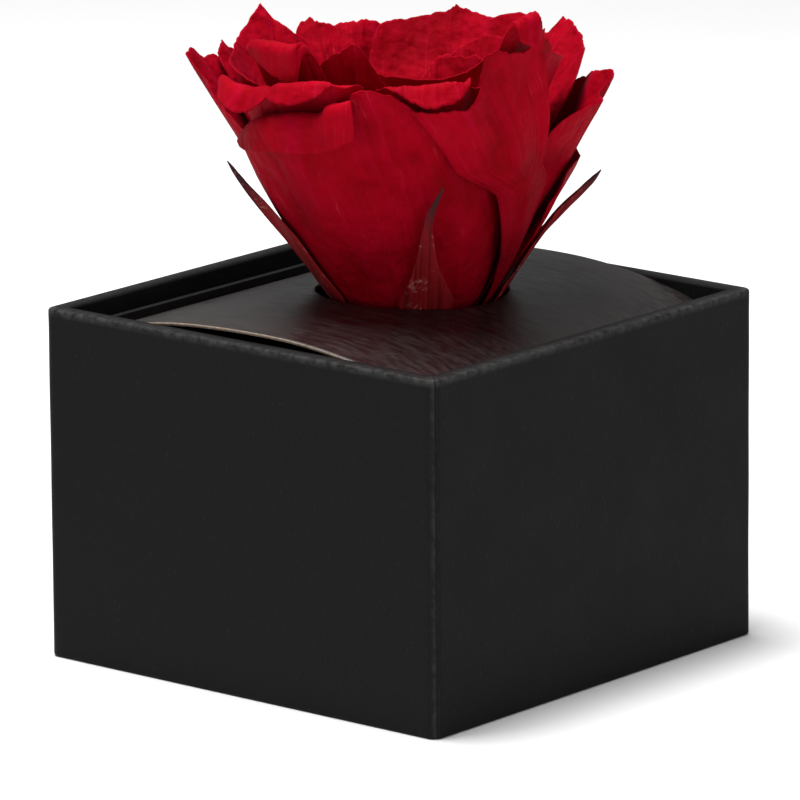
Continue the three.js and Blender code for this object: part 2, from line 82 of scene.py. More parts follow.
def joined(*parts: Array | float) -> Array:
    """Parts of points or faces, stacked along a new last axis."""
    return np.stack(np.broadcast_arrays(*parts), axis=-1)


def numbered(rows: int, columns: int) -> Array:
    """Point numbers of a grid, row by row."""
    return np.arange(rows * columns).reshape(rows, columns)


def quads_between(index: Array, wrap: bool = False) -> Array:
    """Quads between neighbours in a grid of point numbers.

    Args:
        index: the grid of numbers.
        wrap: whether its last column joins its first.

    Returns:
        Array of shape (quads, 4).
    """
    if wrap:
        index = np.concatenate([index, index[:, :1]], axis=1)
    return joined(index[:-1, :-1], index[1:, :-1], index[1:, 1:], index[:-1, 1:]).reshape(-1, 4)


def make_piece(
    name: str, vertices: Array, faces: list[Array], uv: Array | None = None, wear_and_highlight: Array | None = None
) -> Piece:
    """Puts a mesh into the scene as one smooth piece at the origin.

    Args:
        name: name of the piece.
        vertices: array of shape (count, 3), in millimetres.
        faces: arrays of quads or triangles.
        uv: place of each vertex on the piece's own map.
        wear_and_highlight: how much each vertex is rubbed pale, with a painted edge highlight, from 0 to 1.

    Returns:
        The new object.
    """
    mesh = bpy.data.meshes.new(name)
    polygons = [face for block in faces for face in block.tolist()]
    mesh.from_pydata((vertices * MM).tolist(), [], polygons)
    mesh.polygons.foreach_set("use_smooth", np.ones(len(mesh.polygons), bool))
    if uv is not None:
        corners = np.empty(len(mesh.loops), np.int64)
        mesh.loops.foreach_get("vertex_index", corners)
        layer = mesh.uv_layers.new(name="along_piece")
        layer.data.foreach_set("uv", uv[corners].astype(np.float32).ravel())
    # Share of paler rubbed paper and painted edge highlight at each vertex, read by the paper finish.
    if wear_and_highlight is not None:
        attribute = mesh.attributes.new("wear_and_highlight", "FLOAT", "POINT")
        attribute.data.foreach_set("value", wear_and_highlight.astype(np.float32))
    mesh.update()
    piece = bpy.data.objects.new(name, mesh)
    bpy.context.scene.collection.objects.link(piece)
    return piece


def hand_over(piece: Piece, slot: Slot, *nodes: str) -> None:
    """Rides a piece on the body, hides the CAD nodes that it stands for and logs them.

    Args:
        piece: the finished piece.
        slot: material slot of the record; not used.
        nodes: names of the CAD nodes that it replaces.
    """
    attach(piece, BODY)
    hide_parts(*nodes)
    LOG.info("%s: %d faces in place of %s", piece.name, len(piece.data.polygons), ", ".join(nodes))


# Finishes


@dataclass
class Shader:
    """A Principled material being put together from nodes."""

    name: str
    roughness: float
    specular: float
    stray_scale: float = 130.0

    def __post_init__(self) -> None:
        """Starts the material."""
        self.material = bpy.data.materials.new(self.name)
        self.material.use_nodes = True
        self.tree = self.material.node_tree
        self.surface = self.tree.nodes["Principled BSDF"]
        self.set("Roughness", self.roughness)
        self.set("Specular IOR Level", self.specular)

    def node(self, kind: str, inputs: dict | None = None, **settings: object) -> bpy.types.Node:
        """Adds a node of a kind.

        Args:
            kind: Blender's name of the kind.
            inputs: what feeds its inputs, by name or number.
            settings: its properties, which are set first.

        Returns:
            The new node.
        """
        made = self.tree.nodes.new(kind)
        for key, value in settings.items():
            setattr(made, key, value)
        for key, value in (inputs or {}).items():
            self.feed(made.inputs[key], value)
        return made

    def feed(self, socket: Socket, value: object) -> None:
        """Links a socket to another, or sets its value."""
        if isinstance(value, Socket):
            self.tree.links.new(value, socket)
        else:
            socket.default_value = value

    def set(self, name: str, value: object) -> None:
        """Feeds one input of the surface."""
        self.feed(self.surface.inputs[name], value)

    def object_place(self) -> Socket:
        """Object coordinates, in metres."""
        return self.node("ShaderNodeTexCoord").outputs["Object"]

    def stretch(self, place: Socket, scale: Numbers) -> Socket:
        """Scales coordinates along each of their axes."""
        return self.node("ShaderNodeMapping", {"Vector": place, "Scale": scale}).outputs[0]

    def piece_place(self, scale: Numbers, stray: float = 0.0) -> Socket:
        """The piece's own map, scaled.

        Args:
            scale: features across and along the piece.
            stray: how far a noise pushes the map about.

        Returns:
            The scaled coordinates.
        """
        place = self.node("ShaderNodeUVMap", uv_map="along_piece").outputs[0]
        if stray:
            noise = {"Vector": self.object_place(), "Scale": self.stray_scale}
            push = self.node("ShaderNodeTexNoise", noise).outputs["Color"]
            inputs = {0: push, 1: (stray, stray, 0.0), 2: place}
            place = self.node("ShaderNodeVectorMath", inputs, operation="MULTIPLY_ADD").outputs[0]
        return self.stretch(place, (*scale, 1.0))

    def noise(self, place: Socket, scale: float, detail: float = 3.0, rough: float = 0.5) -> Socket:
        """Noise of a scale, in octaves (detail) that each keep a share (rough) of the last one."""
        inputs = {"Vector": place, "Scale": scale, "Detail": detail, "Roughness": rough}
        return self.node("ShaderNodeTexNoise", inputs).outputs["Fac"]

    def ramp(self, value: Socket, low: float, high: float, start: float = 0.0, end: float = 1.0) -> Socket:
        """Maps a value from low..high to start..end, clamped."""
        inputs = {"Value": value, "From Min": low, "From Max": high, "To Min": start, "To Max": end}
        return self.node("ShaderNodeMapRange", inputs).outputs["Result"]

    def times(self, first: Socket, second: Socket | float, plus: Socket | float = 0.0) -> Socket:
        """Product of two values, plus a third."""
        inputs = {0: first, 1: second, 2: plus}
        return self.node("ShaderNodeMath", inputs, operation="MULTIPLY_ADD").outputs[0]

    def blend(self, share: Socket, first: Socket | Colour, second: Socket | Colour) -> Socket:
        """Colour that goes from the first to the second with the share."""
        low, high = (part if isinstance(part, Socket) else (*part, 1.0) for part in (first, second))
        inputs = {"Factor": share, "A": low, "B": high}
        return self.node("ShaderNodeMix", inputs, data_type="RGBA").outputs["Result"]

    def relief(self, height: Socket, depth: float, under: Socket | None = None) -> Socket:
        """Bump of a depth in millimetres, on top of another one."""
        inputs = {"Height": height, "Distance": depth * MM}
        if under is not None:
            inputs["Normal"] = under
        return self.node("ShaderNodeBump", inputs).outputs["Normal"]


@dataclass(frozen=True)
class PetalFinish:
    """Dyed petal: velvety crimson with faint veins that fan out from the claw, and pale scuffs."""

    name: str = "crimson_petal"
    crimson: Colour = (0.375, 0.0003, 0.0095)
    deep: Colour = (0.235, 0.0001, 0.0040)
    bright: Colour = (0.47, 0.0014, 0.030)
    scuff: Colour = (0.52, 0.04, 0.055)
    vein_scale: Numbers = (24.0, 3.2)
    fine_vein_scale: Numbers = (120.0, 8.0)
    stray: float = 0.07
    blotch_scale: float = 95.0
    crinkle_scale: float = 380.0
    grain_scale: float = 1500.0
    blotched: Numbers = (0.38, 0.62, 0.0, 0.85)
    veined: Numbers = (0.45, 0.75, 0.0, 0.3)
    scuffed: Numbers = (0.58, 0.72)
    scuffed_blotch: Numbers = (0.48, 0.66, 0.0, 0.42)
    vein_height: float = 0.5
    blotch_height: float = 2.5
    depth: float = 0.75
    crinkle_depth: float = 0.34
    grain_depth: float = 0.008
    roughness: float = 0.70
    specular: float = 0.03
    sheen: float = 0.05
    sheen_roughness: float = 0.4
    sheen_tint: Colour = (1.0, 0.03, 0.22)

    def build(self) -> Material:
        """Makes the material: veins on the piece's own map, blotches and scuffs in object space."""
        shader = Shader(self.name, self.roughness, self.specular)
        place = shader.object_place()
        veins = shader.noise(shader.piece_place(self.vein_scale, self.stray), 1.0)
        fine = shader.noise(shader.piece_place(self.fine_vein_scale, self.stray), 1.0, rough=0.6)
        blotch = shader.noise(place, self.blotch_scale)
        crinkle = shader.noise(place, self.crinkle_scale, rough=0.55)
        grain = shader.noise(place, self.grain_scale, 2.0)
        tone = shader.blend(shader.ramp(blotch, *self.blotched), self.deep, self.crimson)
        tone = shader.blend(shader.ramp(veins, *self.veined), tone, self.bright)
        scuffs = shader.times(shader.ramp(fine, *self.scuffed), shader.ramp(blotch, *self.scuffed_blotch))
        shader.set("Base Color", shader.blend(scuffs, tone, self.scuff))
        height = shader.times(veins, self.vein_height, shader.times(blotch, self.blotch_height))
        normal = shader.relief(crinkle, self.crinkle_depth, shader.relief(height, self.depth))
        shader.set("Normal", shader.relief(grain, self.grain_depth, normal))
        shader.set("Sheen Weight", self.sheen)
        shader.set("Sheen Roughness", self.sheen_roughness)
        shader.set("Sheen Tint", (*self.sheen_tint, 1.0))
        return shader.material


@dataclass(frozen=True)
class SepalFinish:
    """Dry dyed calyx leaf: dark red with pale scuffs, and a brown tip."""

    name: str = "dry_sepal"
    red: Colour = (0.30, 0.010, 0.014)
    dark: Colour = (0.13, 0.004, 0.007)
    tip: Colour = (0.050, 0.014, 0.016)
    scuff: Colour = (0.50, 0.17, 0.16)
    tip_heights: Numbers = (71.0, 77.0)
    rib_scale: Numbers = (14.0, 1.6)
    rib_depth: float = 0.14
    ribbed: Numbers = (0.35, 0.6)
    patch_scale: float = 260.0
    patched: Numbers = (0.5, 0.62)
    fleck_scale: float = 1500.0
    flecked: Numbers = (0.52, 0.62, 0.0, 0.75)

    def build(self) -> Material:
        """Makes the material: ribs on the piece's own map, the tip by height, scuffs in object space."""
        shader = Shader(self.name, roughness=0.6, specular=0.12)
        place = shader.object_place()
        ribs = shader.noise(shader.piece_place(self.rib_scale), 1.0)
        height = shader.node("ShaderNodeSeparateXYZ", {0: place}).outputs["Z"]
        tone = shader.blend(shader.ramp(ribs, *self.ribbed), self.dark, self.red)
        tip = shader.ramp(height, *(end * MM for end in self.tip_heights))
        patches = shader.ramp(shader.noise(place, self.patch_scale, 2.0), *self.patched)
        flecks = shader.ramp(shader.noise(place, self.fleck_scale, rough=0.7), *self.flecked)
        tone = shader.blend(shader.times(patches, flecks), shader.blend(tip, tone, self.tip), self.scuff)
        shader.set("Base Color", tone)
        shader.set("Normal", shader.relief(ribs, self.rib_depth))
        return shader.material


@dataclass(frozen=True)
class PaperFinish:
    """Matt black paper glued on board, with fine fibres, and edges painted paler: rubbed paper plus a painted
    highlight.
    """

    name: str = "black_paper"
    black: Colour = (0.0038, 0.0039, 0.0042)
    pale: Colour = (0.0066, 0.0067, 0.0072)
    # Pale colour of rubbed paper, also a painted highlight on the rims and corners; the fibres are tinted
    # with it too.
    worn_and_highlit: Colour = (0.060, 0.060, 0.058)
    fibre_stretch: Numbers = (1.0, 1.0, 0.35)
    fibre_scale: float = 2600.0
    fibre_depth: float = 0.035
    cloud_scale: float = 90.0
    cloud_depth: float = 0.10
    wear_scale: float = 700.0

    def build(self) -> Material:
        """Makes the material: fibres run up the walls; rubbed edges and painted edge highlight are a mesh
        attribute.
        """
        shader = Shader(self.name, roughness=0.62, specular=0.10)
        place = shader.object_place()
        fine = shader.noise(shader.stretch(place, self.fibre_stretch), self.fibre_scale, 4.0, 0.65)
        cloud = shader.noise(place, self.cloud_scale, 4.0, 0.6)
        tone = shader.blend(shader.ramp(cloud, 0.35, 0.7), self.black, self.pale)
        tone = shader.blend(shader.ramp(fine, 0.6, 0.85, 0.0, 0.5), tone, self.worn_and_highlit)
        # Paler rims and corners from the mesh attribute: rubbed paper plus a painted highlight, broken up by
        # a noise.
        worn_and_highlit = shader.node("ShaderNodeAttribute", attribute_name="wear_and_highlight").outputs["Fac"]
        patchy = shader.ramp(shader.noise(place, self.wear_scale, rough=0.7), 0.35, 0.65, 0.15)
        shader.set("Base Color", shader.blend(shader.times(worn_and_highlit, patchy), tone, self.worn_and_highlit))
        shader.set("Roughness", shader.ramp(cloud, 0.3, 0.7, 0.56, 0.70))
        normal = shader.relief(cloud, self.cloud_depth)
        shader.set("Normal", shader.relief(fine, self.fibre_depth, normal))
        return shader.material


@dataclass(frozen=True)
class CardFinish:
    """Dark brown card with a satin sheen, short streaks and pale dust."""

    name: str = "dark_card"
    brown: Colour = (0.0075, 0.0048, 0.0050)
    dust: Colour = (0.050, 0.040, 0.038)
    streak_stretch: Numbers = (0.22, 1.0, 1.0)
    streak_scale: float = 900.0
    streak_depth: float = 0.03
    cloud_scale: float = 110.0
    cloud_depth: float = 0.09

    def build(self) -> Material:
        """Makes the material: streaks run across the card, and dust is patchy."""
        shader = Shader(self.name, roughness=0.36, specular=0.45)
        place = shader.object_place()
        streak = shader.noise(shader.stretch(place, self.streak_stretch), self.streak_scale, 4.0, 0.65)
        cloud = shader.noise(place, self.cloud_scale, 4.0, 0.65)
        share = shader.times(shader.ramp(streak, 0.4, 0.75), shader.ramp(cloud, 0.3, 0.8, 0.25))
        shader.set("Base Color", shader.blend(share, self.brown, self.dust))
        shader.set("Roughness", shader.ramp(streak, 0.3, 0.7, 0.30, 0.46))
        normal = shader.relief(cloud, self.cloud_depth)
        shader.set("Normal", shader.relief(streak, self.streak_depth, normal))
        return shader.material


@dataclass(frozen=True)
class PlainFinish:
    """Plain dry surface with a faint grain, for raw edges, boards, the hip and the floor."""

    name: str
    first: Colour
    second: Colour
    grain: float = 900.0
    depth: float = 0.03
    roughness: float = 0.8
    specular: float = 0.2

    def build(self) -> Material:
        """Makes the material: one noise mixes its two colours and raises its grain."""
        shader = Shader(self.name, self.roughness, self.specular)
        grain = shader.noise(shader.object_place(), self.grain, 4.0, 0.6)
        shader.set("Base Color", shader.blend(shader.ramp(grain, 0.3, 0.7), self.first, self.second))
        shader.set("Normal", shader.relief(grain, self.depth))
        return shader.material


# The rose


@dataclass(frozen=True)
class Cups:
    """Nested cups that the petals lie in, turned round the rose's axis.

    Each cup is a Bezier curve of (radius, height). Layer 1 is the outermost full cup and layer 0
    the bud. A turn of 0 faces the viewer, and a positive turn goes to the viewer's right.
    """

    outer: Table = ((6, 50.5), (15.8, 54.6), (21.9, 75.7), (33.5, 96))
    inner: Table = ((0.7, 62), (1.1, 72), (1.5, 84), (2.2, 95))
    axis: Numbers = (-0.25, 3.2)
    viewer_turn: float = -50.0
    lean: float = 1.5
    inner_lean: float = 5.0
    reach_limit: float = 1.5
    reach_guess: float = 0.7
    reach_steps: int = 12

    def section(self, layer: Array, t: Array) -> tuple[Array, Array]:
        """Cubic Bezier curve of a layer's cup.

        Args:
            layer: layer of each point.
            t: share of the way from the claw to the rim.

        Returns:
            Arrays of (radius, height) and of their slopes.
        """
        layer, t = np.broadcast_arrays(np.asarray(layer, float), np.asarray(t, float))
        shape = (4,) + (1,) * t.ndim + (2,)
        outer = np.array(self.outer, float).reshape(shape)
        inner = np.array(self.inner, float).reshape(shape)
        control = outer * layer[None, ..., None] + inner * (1.0 - layer[None, ..., None])
        m = 1.0 - t
        weight = np.stack([m**3, 3 * m * m * t, 3 * m * t * t, t**3])[..., None]
        slope = np.stack([-3 * m * m, 3 * m * m - 6 * m * t, 6 * m * t - 3 * t * t, 3 * t * t])
        return (weight * control).sum(0), (slope[..., None] * control).sum(0)

    def reach(self, layer: Array, height: Array) -> Array:
        """Where along a cup it has a height, by Newton steps.

        Args:
            layer: layer of each point.
            height: height to reach.

        Returns:
            The share t of each point.
        """
        t = np.full(np.broadcast(layer, height).shape, self.reach_guess)
        for _ in range(self.reach_steps):
            point, slope = self.section(layer, t)
            t = np.clip(t - (point[..., 1] - height) / slope[..., 1], 0.0, self.reach_limit)
        return t

    def outward(self, turn: Array) -> Array:
        """Level unit vectors that point away from the axis at a turn in degrees."""
        angle = np.radians(self.viewer_turn + np.asarray(turn, float))
        return joined(np.cos(angle), np.sin(angle), 0.0)

    def place(self, turn: Array, layer: Array, t: Array) -> tuple[Array, Array]:
        """Points of the cups, which lean to the viewer's left, the inner layers more.

        Args:
            turn: turn of each point in degrees.
            layer: its layer.
            t: its share of the way from the claw to the rim.

        Returns:
            Arrays of points and of unit outward normals.
        """
        point, slope = self.section(layer, t)
        away = self.outward(turn)
        lean = (self.lean + self.inner_lean * (1.0 - layer)) * t
        places = away * point[..., :1] - self.outward(90.0) * lean[..., None]
        places[..., :2] += self.axis
        places[..., 2] += point[..., 1]
        steep = slope / np.linalg.norm(slope, axis=-1, keepdims=True)
        normals = away * steep[..., 1:]
        normals[..., 2] -= steep[..., 0]
        return places, normals


@dataclass(frozen=True)
class Leaf:
    """A petal or sepal: an outline drawn on the cups, with a rolled rim, ruffles and bumps.

    The outline runs from the left end of the claw round the rim to the right end, and each of its
    points is (turn, height, layer shift, roll length). Veins run from the claw to the outline.
    """

    name: str
    claw: float
    layer: float
    outline: Table
    claw_half: float = 14.0
    sharp: tuple[int, ...] = ()
    wave: Numbers = (0.0, 1.0, 0.0)
    wave_band: Numbers = (0.55, 1.0)
    roll_radius: float = 2.0
    roll_turn: float = 120.0
    rolled: Numbers = (0.5, 2.0)
    teeth: float = 0.34
    teeth_seed: int = 3
    teeth_heights: Numbers = (66.0, 86.0)
    tooth_counts: Numbers = (7.0, 13.0, 21.0, 34.0)
    tooth_size: float = 10.0
    tooth_fall: float = 6.0
    tooth_middle: float = 1.2
    crumple: float = 0.2
    crumple_seed: int = 7
    crumple_band: Numbers = (0.15, 0.7)
    fan: float = 0.8
    shift_from: float = 0.35
    sweep: Numbers = (0.0, 0.6, 0.8)
    bumps: Table = ()
    sheet_waves: Table = (
        (1.0, 5.5, 3.0, 1.0), (1.0, 5.5, 3.0, 0.9), (2.0, 6.0, 3.0, 0.7), (5.0, 9.0, 1.2, 0.22),
        (6.0, 11.0, 1.2, 0.15))
    rim_sample: float = 0.66
    rim_crowding: float = 1.3
    thickness: float = 0.38
    thin_edge: float = 0.45
    side_taper: float = 30.0
    rim_taper: float = 25.0
    grid: tuple[int, int] = (128, 54)

    def dice(self, seed: int) -> np.random.Generator:
        """Random numbers that a seed and the leaf's name fix."""
        total = sum(ord(letter) * (place + seed) for place, letter in enumerate(self.name))
        return np.random.default_rng(total)

    def rim(self, u: Array) -> Array:
        """Hermite curve through the outline, with corners at its sharp points.

        Args:
            u: share of the way along the outline.

        Returns:
            Array of (turn, height, layer shift, roll length) at each u.
        """
        points = np.array([(*point, 0.0, 0.0)[:4] for point in self.outline], float)
        last = len(points) - 1
        place = np.clip(u * last, 0.0, last - 1e-9)
        i = place.astype(int)
        f = (place - i)[..., None]
        a = points[i]
        b = points[i + 1]
        corner = np.zeros(last + 1, bool)
        corner[[0, last, *self.sharp]] = True
        leave = np.where(corner[i][..., None], b - a, (b - points[np.maximum(i - 1, 0)]) / 2)
        arrive = np.where(corner[i + 1][..., None], b - a, (points[np.minimum(i + 2, last)] - a) / 2)
        start = (2 * f**3 - 3 * f**2 + 1) * a + (f**3 - 2 * f**2 + f) * leave
        return start + (-2 * f**3 + 3 * f**2) * b + (f**3 - f**2) * arrive

    def ripple(self, u: Array, v: Array) -> Array:
        """Random waves of the sheet: broad slanted sines and narrow ones along the veins.

        Args:
            u: share of the way across.
            v: share of the way from claw to rim.

        Returns:
            Height of the waves at each point.
        """
        draw = self.dice(self.crumple_seed)
        total = np.zeros_like(u + v)
        for low, high, slant, size in self.sheet_waves:
            count_u = draw.uniform(low, high)
            count_v = draw.uniform(-slant, slant)
            total += size * np.sin(math.tau * (count_u * u + count_v * v) + draw.uniform(0.0, math.tau))
        return total

    def nicks(self, u: Array) -> Array:
        """Small teeth of the rim: sines of rising count and falling height, seeded by the name."""
        draw = self.dice(self.teeth_seed)
        total = np.zeros_like(u)
        for count in self.tooth_counts:
            tooth = np.abs(np.sin(math.pi * count * u + draw.uniform(0.0, math.tau)))
            total += tooth * (self.tooth_size / (count + self.tooth_fall))
        return total - self.tooth_middle

    def surface(self, cups: Cups) -> tuple[Array, ...]:
        """Middle surface of the leaf on a grid of u across and v from the claw to the rim.

        The sheet fans out from the claw and shifts between layers, its tip sweeps sideways, its
        rim rolls outwards and runs on straight, and waves and bumps lift it along its normal.

        Args:
            cups: the cups that the leaf lies in.

        Returns:
            Arrays of points, of the directions that they face, of u and of v.
        """
        count_u, count_v = self.grid
        down = 1.0 - np.linspace(0.0, 1.0, count_v)
        u, v = np.meshgrid(np.linspace(0.0, 1.0, count_u), 1.0 - down**self.rim_crowding, indexing="ij")
        rim = self.rim(u)
        nick = self.teeth * self.nicks(u) * smooth_step(rim[..., 1], *self.teeth_heights)
        roll = rim[..., 3] + nick * smooth_step(rim[..., 3], *self.rolled)
        reach = cups.reach(self.layer + rim[..., 2], rim[..., 1] + nick)
        start = self.claw + self.claw_half * (2.0 * u - 1.0)
        turn = start + (rim[..., 0] - start) * v**self.fan
        turn = turn + self.sweep[0] * smooth_step(v * reach, *self.sweep[1:])
        layer = self.layer + rim[..., 2] * smooth_step(v, self.shift_from, 1.0)
        points, normals = cups.place(turn, layer, v * reach)
        edge = points[:, -1:]
        below = points[:, [int(round((count_v - 1) * self.rim_sample))]]
        onward = (edge - below) / np.linalg.norm(edge - below, axis=-1, keepdims=True)
        left = np.linalg.norm(edge - points, axis=-1)
        past = np.clip(roll - left, 0.0, None)
        radius = self.roll_radius
        bend = np.clip(past / radius, 0.0, math.radians(self.roll_turn))
        straight = past - radius * bend
        size, waves, phase = self.wave
        lift = size * np.sin(math.tau * waves * u + phase) * smooth_step(v, *self.wave_band)
        lift = lift + self.crumple * self.ripple(u, v) * smooth_step(v, *self.crumple_band)
        for middle_u, middle_v, wide_u, wide_v, bump in self.bumps:
            lift = lift + bump * np.exp(-(((u - middle_u) / wide_u) ** 2) - ((v - middle_v) / wide_v) ** 2)
        out = radius * (1.0 - np.cos(bend)) + straight * np.sin(bend) + lift
        back = radius * np.sin(bend) + straight * np.cos(bend) - past
        bend = bend[..., None]
        facing = normals * np.cos(bend) - onward * np.sin(bend)
        return points + normals * out[..., None] + onward * back[..., None], facing, u, v

    def build(self, cups: Cups) -> Piece:
        """Closes the leaf: a side on either hand of its middle surface, and a strip all round.

        Args:
            cups: the cups that the leaf lies in.

        Returns:
            The new piece.
        """
        points, facing, u, v = self.surface(cups)
        edge = np.minimum(np.minimum(u, 1.0 - u) * self.side_taper, (1.0 - v) * self.rim_taper)
        share = self.thin_edge + (1.0 - self.thin_edge) * smooth_step(edge, 0.0, 1.0)
        sides = facing * (self.thickness * 0.5 * share)[..., None]
        vertices = np.concatenate([(points + sides).reshape(-1, 3), (points - sides).reshape(-1, 3)])
        index = numbered(*u.shape)
        outer = quads_between(index)
        inner = outer[:, ::-1] + u.size
        border = np.concatenate([index[:, 0], index[-1, 1:], index[-2::-1, -1], index[0, -2:0:-1]])
        ahead = np.roll(border, -1)
        strip = joined(border, border + u.size, ahead + u.size, ahead)
        uv = joined(u, v).reshape(-1, 2)
        return make_piece(self.name, vertices, [outer, inner, strip], np.concatenate([uv, uv]))


